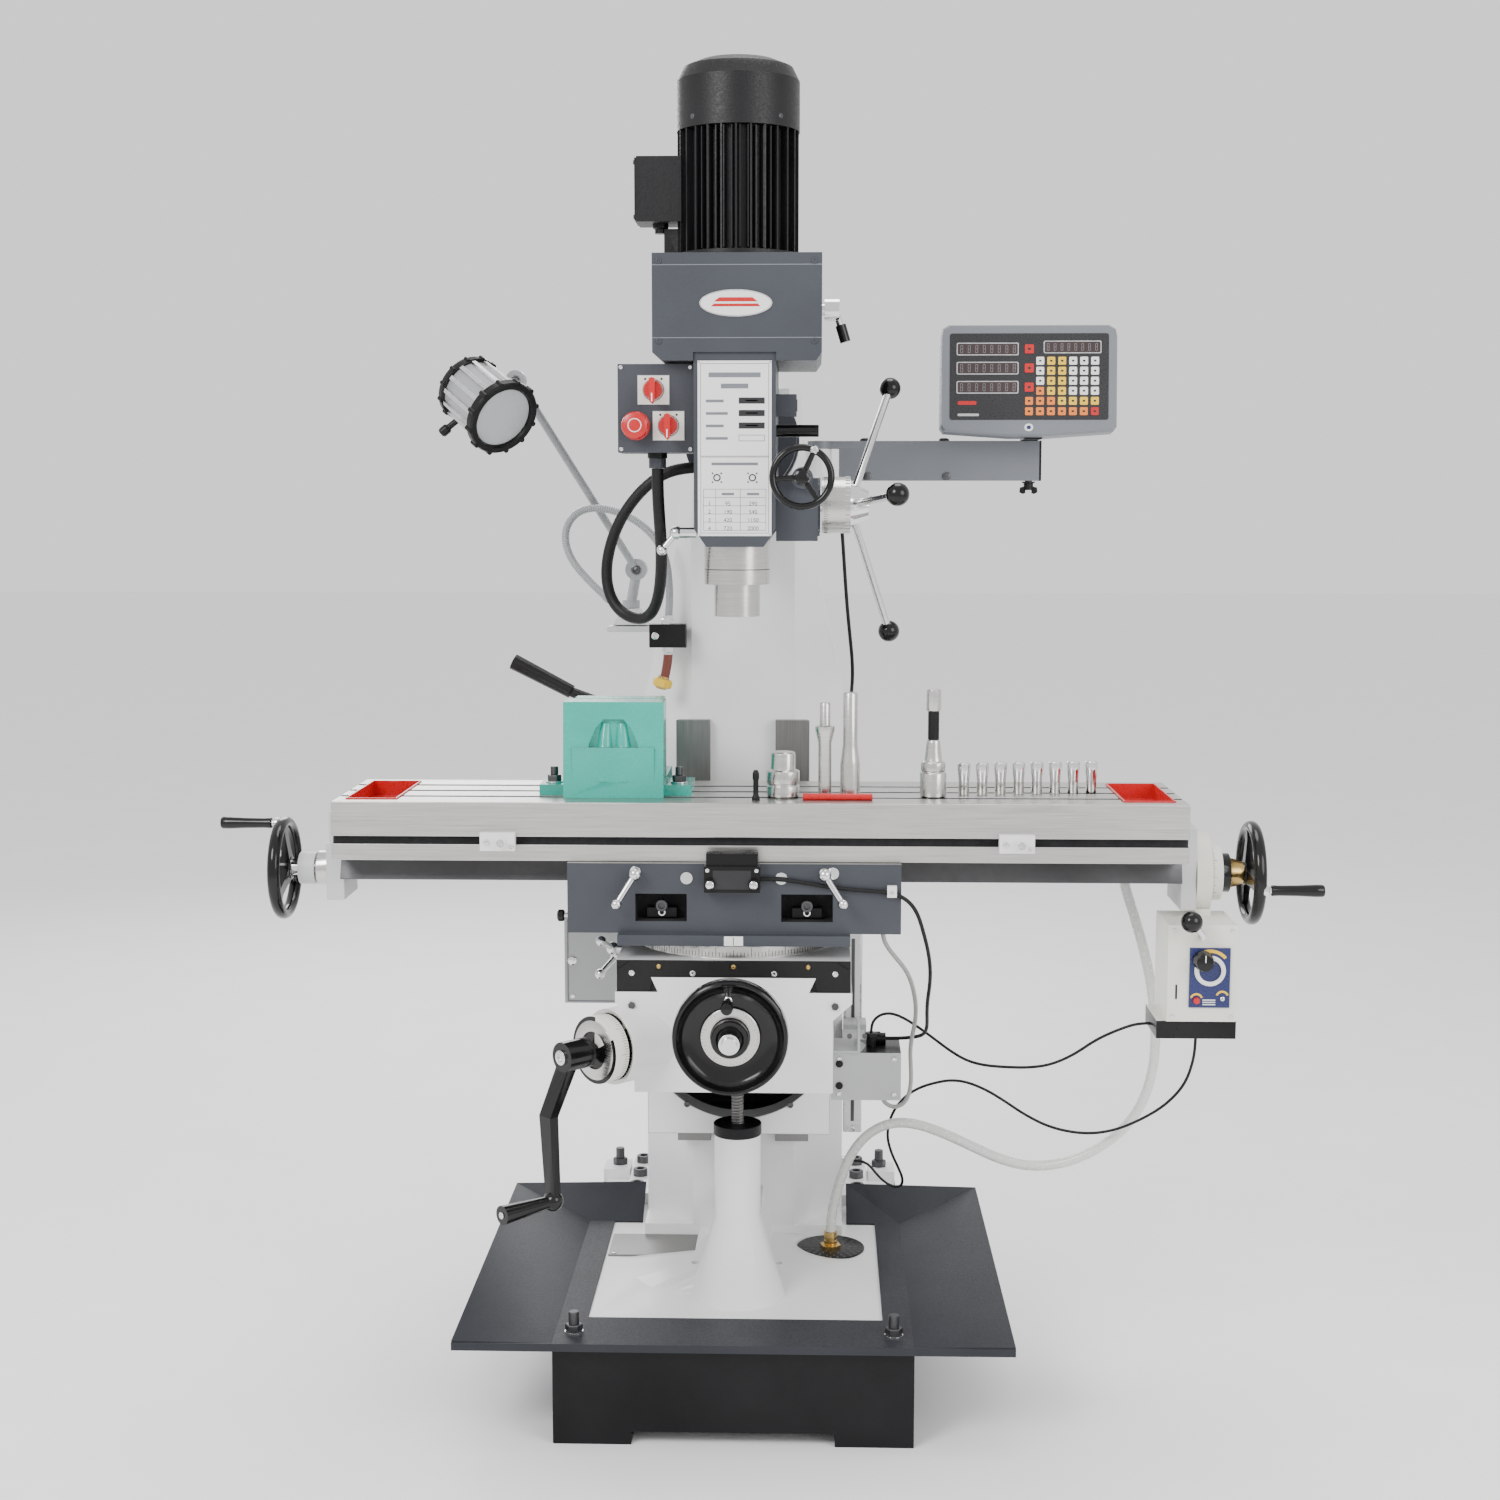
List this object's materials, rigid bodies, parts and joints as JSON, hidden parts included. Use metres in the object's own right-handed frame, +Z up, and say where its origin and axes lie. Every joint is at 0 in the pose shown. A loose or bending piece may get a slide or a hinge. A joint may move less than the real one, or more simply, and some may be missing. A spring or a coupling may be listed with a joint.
{
  "type": "knee-type vertical milling and drilling machine",
  "caption": "Floor-standing vertical milling machine: knee on column ways, swivelling T-slot table with power feed and vise, tilting head with sliding quill, lamp and readout.",
  "frame": {"origin": "centre of the four floor anchor holes in the stand's feet, on the floor", "axes": "+X to the operator's right along the table, +Y from the operator towards the column, +Z up"},
  "size_m": [1.682, 0.976, 2.058],
  "materials": {
    "aluminium": "ribbed",
    "black_paint": "satin",
    "black_plastic": "matte",
    "black_rubber": "matte",
    "blue_grey_paint": "satin",
    "bright_steel": "polished",
    "cabinet_grey": "satin",
    "cast_white": "satin",
    "clear_hose": "translucent",
    "cream_plastic": "gloss",
    "dark_steel": "dark",
    "grey_cable": "ribbed",
    "ground_steel": "ground",
    "red_plastic": "gloss",
    "teal_paint": "gloss",
    "tray_grey": "satin"
  },
  "bodies": {
    "base": {"base_plinth": "black_paint", "base_casting": "cast_white", "chip_tray": "tray_grey", "column": "cast_white", "elevating_nut": "black_paint", "base_fittings": "dark_steel", "column_electrics": "cabinet_grey", "coolant_gooseneck": "black_rubber", "lamp_base": "aluminium", "coolant_hose": "clear_hose", "feed_supply_cable": "black_rubber", "console_cable": "black_rubber"},
    "knee": {"knee": "cast_white", "junction_box": "cabinet_grey", "power_feed_cable": "black_rubber", "switch_cable": "black_rubber", "scale_cable": "grey_cable"},
    "elevating_screw": {"elevating_screw": "ground_steel"},
    "knee_crank": {"knee_crank": "black_paint"},
    "knee_lock": {"knee_lock": "bright_steel"},
    "cross_drive": {"cross_handwheel": "black_plastic", "cross_screw": "bright_steel"},
    "saddle": {"saddle": "ground_steel"},
    "saddle_lock": {"saddle_lock": "bright_steel"},
    "carriage": {"swivel_carriage": "blue_grey_paint", "limit_switch": "black_plastic"},
    "table_lock_left": {"table_lock_left": "bright_steel"},
    "table_lock_right": {"table_lock_right": "bright_steel"},
    "table": {"table": "ground_steel", "end_brackets": "cast_white", "table_fittings": "bright_steel", "power_feed": "cream_plastic", "vise_body": "teal_paint"},
    "table_drive": {"table_screw": "bright_steel", "table_handwheels": "black_plastic"},
    "power_feed_lever": {"power_feed_lever": "black_plastic"},
    "power_feed_knob": {"power_feed_knob": "black_plastic"},
    "vise_jaw": {"vise_jaw": "teal_paint"},
    "vise_screw": {"vise_screw": "dark_steel"},
    "head": {"head_casting": "blue_grey_paint", "gearbox_housing": "blue_grey_paint", "motor": "black_paint", "switch_box": "black_plastic", "head_conduit": "black_rubber"},
    "motor_rotor": {"motor_rotor": "ground_steel"},
    "drive_sleeve": {"drive_sleeve": "ground_steel"},
    "quill": {"quill": "ground_steel"},
    "spindle": {"spindle": "bright_steel"},
    "feed_handles": {"feed_handles": "bright_steel"},
    "fine_feed_wheel": {"fine_feed_wheel": "black_plastic"},
    "quill_lock": {"quill_lock": "bright_steel"},
    "speed_selector": {"speed_selector": "bright_steel"},
    "switch_upper": {"switch_upper": "red_plastic"},
    "switch_lower": {"switch_lower": "red_plastic"},
    "stop_button": {"stop_button": "red_plastic"},
    "readout_arm": {"readout_arm": "aluminium"},
    "readout_console": {"readout_console": "cabinet_grey"},
    "lamp_lower_arm": {"lamp_lower_arm": "aluminium"},
    "lamp_upper_arm": {"lamp_upper_arm": "aluminium"},
    "lamp_head": {"lamp_head": "aluminium"}
  },
  "joints": [
    {"name": "knee_lift", "type": "slide", "parent": "base", "child": "knee", "axis": [0, 0, 1], "range_m": [-0.125, 0.105], "deforming": ["coolant_hose", "feed_supply_cable"]},
    {"name": "knee_crank_turn", "type": "hinge", "parent": "knee", "child": "knee_crank", "pos_m": [0, -0.22, 0.605], "axis": [-0.7071, -0.7071, 0], "range_deg": [-15121, 18001]},
    {"name": "elevating_screw_turn", "type": "hinge", "parent": "knee", "child": "elevating_screw", "pos_m": [0, -0.22, 0.3], "axis": [0, 0, 1], "range_deg": [-7561, 9001]},
    {"name": "knee_lock_turn", "type": "hinge", "parent": "knee", "child": "knee_lock", "pos_m": [-0.18, -0.18, 0.694], "axis": [1, 0, 0], "range_deg": [-20, 40]},
    {"name": "cross_wheel_turn", "type": "hinge", "parent": "knee", "child": "cross_drive", "pos_m": [0, -0.22, 0.646], "axis": [0, 1, 0], "range_deg": [-6841, 2400]},
    {"name": "saddle_slide", "type": "slide", "parent": "knee", "child": "saddle", "axis": [0, 1, 0], "range_m": [-0.095, 0.0333], "deforming": ["coolant_hose", "feed_supply_cable", "power_feed_cable", "switch_cable", "scale_cable"]},
    {"name": "saddle_lock_turn", "type": "hinge", "parent": "saddle", "child": "saddle_lock", "pos_m": [-0.18, -0.24, 0.718], "axis": [1, 0, 0], "range_deg": [-10, 45]},
    {"name": "table_swivel", "type": "hinge", "parent": "saddle", "child": "carriage", "pos_m": [0, -0.22, 0.751], "axis": [0, 0, 1], "range_deg": [-30, 30], "deforming": ["coolant_hose", "feed_supply_cable", "power_feed_cable", "switch_cable", "scale_cable"]},
    {"name": "table_lock_left_turn", "type": "hinge", "parent": "carriage", "child": "table_lock_left", "pos_m": [-0.145, -0.37, 0.858], "axis": [0, 1, 0], "range_deg": [-30, 40]},
    {"name": "table_lock_right_turn", "type": "hinge", "parent": "carriage", "child": "table_lock_right", "pos_m": [0.134, -0.37, 0.858], "axis": [0, 1, 0], "range_deg": [-40, 30]},
    {"name": "table_slide", "type": "slide", "parent": "carriage", "child": "table", "axis": [1, 0, 0], "range_m": [-0.3, 0.23], "deforming": ["coolant_hose", "feed_supply_cable", "power_feed_cable"]},
    {"name": "table_wheel_turn", "type": "hinge", "parent": "table", "child": "table_drive", "pos_m": [0, -0.22, 0.838], "axis": [1, 0, 0], "range_deg": [-21601, 16561]},
    {"name": "power_feed_lever_turn", "type": "hinge", "parent": "table", "child": "power_feed_lever", "pos_m": [0.694, -0.34, 0.764], "axis": [0, 1, 0], "range_deg": [-20, 20]},
    {"name": "power_feed_knob_turn", "type": "hinge", "parent": "table", "child": "power_feed_knob", "pos_m": [0.694, -0.34, 0.728], "axis": [0, 1, 0], "range_deg": [0, 270]},
    {"name": "vise_jaw_slide", "type": "slide", "parent": "table", "child": "vise_jaw", "axis": [0, 1, 0], "range_m": [-0.0281, 0.0201]},
    {"name": "vise_screw_turn", "type": "hinge", "parent": "vise_jaw", "child": "vise_screw", "pos_m": [-0.1835, -0.12, 1.064], "axis": [0, 1, 0], "range_deg": [-2520, 1800]},
    {"name": "head_tilt", "type": "hinge", "parent": "base", "child": "head", "pos_m": [0, -0.02, 1.5], "axis": [0, 1, 0], "range_deg": [-45, 45], "deforming": ["head_conduit"]},
    {"name": "rotor_spin", "type": "hinge", "parent": "head", "child": "motor_rotor", "pos_m": [0, -0.162, 1.7], "axis": [0, 0, 1], "continuous": true},
    {"name": "drive_sleeve_spin", "type": "hinge", "parent": "head", "child": "drive_sleeve", "pos_m": [0, -0.22, 1.7], "axis": [0, 0, 1], "continuous": true},
    {"name": "quill_slide", "type": "slide", "parent": "head", "child": "quill", "axis": [0, 0, -1], "range_m": [0, 0.1201]},
    {"name": "spindle_spin", "type": "hinge", "parent": "quill", "child": "spindle", "pos_m": [0, -0.22, 1.3], "axis": [0, 0, 1], "continuous": true},
    {"name": "quill_feed_turn", "type": "hinge", "parent": "head", "child": "feed_handles", "pos_m": [0.15, -0.158, 1.397], "axis": [1, 0, 0], "range_deg": [0, 381.9]},
    {"name": "fine_feed_turn", "type": "hinge", "parent": "head", "child": "fine_feed_wheel", "pos_m": [0.099, -0.32, 1.437], "axis": [0, 1, 0], "continuous": true},
    {"name": "quill_lock_turn", "type": "hinge", "parent": "head", "child": "quill_lock", "pos_m": [-0.07, -0.25, 1.356], "axis": [1, 0, 0], "range_deg": [-30, 60]},
    {"name": "speed_selector_turn", "type": "hinge", "parent": "head", "child": "speed_selector", "pos_m": [0.14, -0.22, 1.687], "axis": [1, 0, 0], "range_deg": [-60, 60]},
    {"name": "switch_upper_turn", "type": "hinge", "parent": "head", "child": "switch_upper", "pos_m": [-0.12, -0.3, 1.565], "axis": [0, 1, 0], "range_deg": [-45, 45]},
    {"name": "switch_lower_turn", "type": "hinge", "parent": "head", "child": "switch_lower", "pos_m": [-0.098, -0.3, 1.513], "axis": [0, 1, 0], "range_deg": [-45, 45]},
    {"name": "stop_button_press", "type": "slide", "parent": "head", "child": "stop_button", "axis": [0, 1, 0], "range_m": [0, 0.004], "stiffness_N_per_m": 1500},
    {"name": "readout_arm_swing", "type": "hinge", "parent": "base", "child": "readout_arm", "pos_m": [0.125, 0.096, 1.46], "axis": [0, 0, -1], "range_deg": [-45, 10], "deforming": ["console_cable"]},
    {"name": "readout_console_swivel", "type": "hinge", "parent": "readout_arm", "child": "readout_console", "pos_m": [0.47, 0.096, 1.5], "axis": [0, 0, -1], "range_deg": [-30, 10]},
    {"name": "lamp_base_swivel", "type": "hinge", "parent": "base", "child": "lamp_lower_arm", "pos_m": [-0.196, 0.176, 1.224], "axis": [0, 0, 1], "range_deg": [-60, 15]},
    {"name": "lamp_elbow", "type": "hinge", "parent": "lamp_lower_arm", "child": "lamp_upper_arm", "pos_m": [-0.181, 0.11, 1.29], "axis": [0, 1, 0], "range_deg": [-30, 10]},
    {"name": "lamp_head_tilt", "type": "hinge", "parent": "lamp_upper_arm", "child": "lamp_head", "pos_m": [-0.352, -0.083, 1.592], "axis": [0, 1, 0], "range_deg": [-30, 20]}
  ],
  "couplings": [
    {"joint": "knee_crank_turn", "follows": "knee_lift", "rad_per_m": -2513.3},
    {"joint": "elevating_screw_turn", "follows": "knee_lift", "rad_per_m": -1256.6},
    {"joint": "cross_wheel_turn", "follows": "saddle_slide", "rad_per_m": 1256.6},
    {"joint": "table_wheel_turn", "follows": "table_slide", "rad_per_m": 1256.6},
    {"joint": "vise_jaw_slide", "follows": "vise_screw_turn", "m_per_rad": 0.00063662},
    {"joint": "quill_slide", "follows": "quill_feed_turn", "m_per_rad": 0.018},
    {"joint": "drive_sleeve_spin", "follows": "rotor_spin", "ratio": -0.45},
    {"joint": "spindle_spin", "follows": "rotor_spin", "ratio": -0.45}
  ]
}
